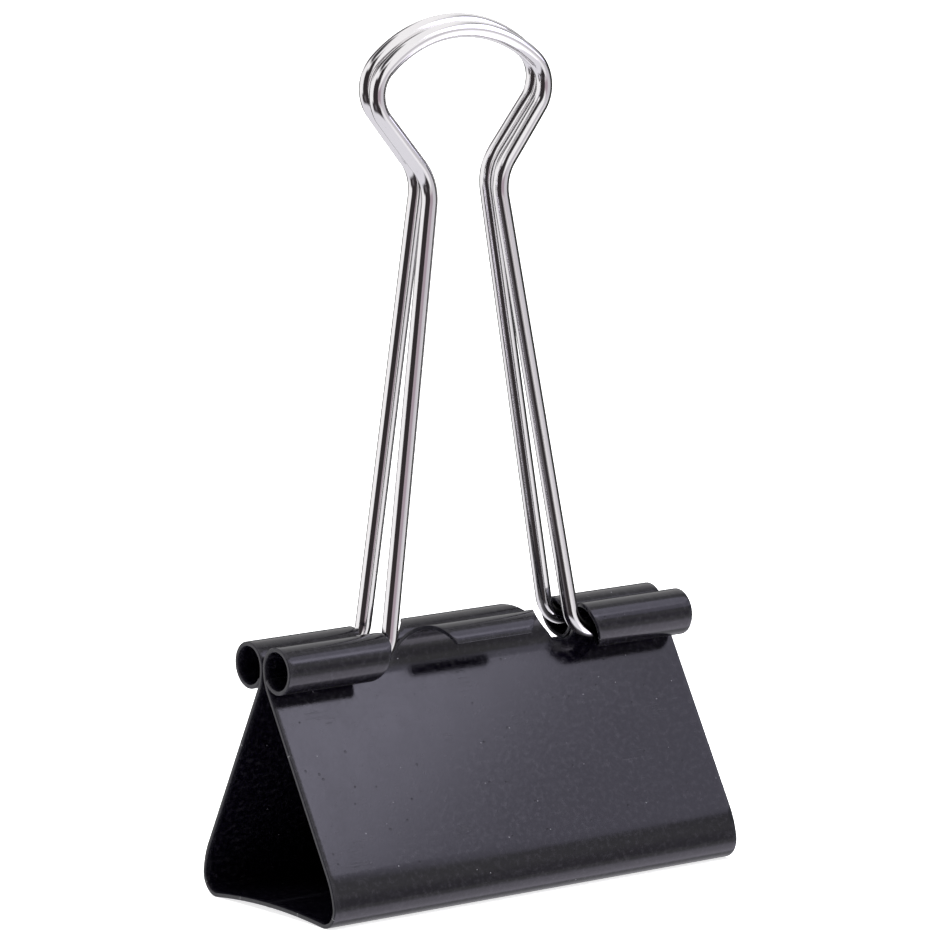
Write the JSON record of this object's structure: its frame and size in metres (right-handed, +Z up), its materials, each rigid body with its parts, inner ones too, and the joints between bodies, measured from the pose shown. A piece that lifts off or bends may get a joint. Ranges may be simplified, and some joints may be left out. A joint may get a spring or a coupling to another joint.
{
  "type": "binder clip",
  "caption": "Large spring-steel binder clip: folded triangular body with rolled barrels along its mouth and wire loop handles that fold down onto its sides.",
  "frame": {"origin": "middle of the base, at the level of its lowest edges", "axes": "+Z up from the base through the mouth to the handle loops, X along the barrels, front jaw towards -Y"},
  "size_m": [0.051, 0.0234, 0.089],
  "materials": {
    "lacquered_steel": "gloss",
    "bright_wire": "polished"
  },
  "bodies": {
    "base": {"base": "lacquered_steel"},
    "front_jaw": {"front_jaw": "lacquered_steel"},
    "rear_jaw": {"rear_jaw": "lacquered_steel"},
    "front_handle": {"front_handle": "bright_wire"},
    "rear_handle": {"rear_handle": "bright_wire"}
  },
  "joints": [
    {"name": "front_jaw_flex", "type": "hinge", "parent": "base", "child": "front_jaw", "pos_m": [0, -0.00955, 0], "axis": [1, 0, 0], "range_deg": [0, 28], "stiffness_Nm_per_rad": 1, "springref_deg": -11.46},
    {"name": "rear_jaw_flex", "type": "hinge", "parent": "base", "child": "rear_jaw", "pos_m": [0, 0.00955, 0], "axis": [-1, 0, 0], "range_deg": [0, 28], "stiffness_Nm_per_rad": 1, "springref_deg": -11.46},
    {"name": "front_handle_hinge", "type": "hinge", "parent": "front_jaw", "child": "front_handle", "pos_m": [0, -0.0025, 0.0245], "axis": [1, 0, 0], "range_deg": [0, 153]},
    {"name": "rear_handle_hinge", "type": "hinge", "parent": "rear_jaw", "child": "rear_handle", "pos_m": [0, 0.0025, 0.02515], "axis": [-1, 0, 0], "range_deg": [0, 153]}
  ],
  "couplings": [
    {"joint": "rear_jaw_flex", "follows": "front_jaw_flex", "ratio": 1}
  ]
}
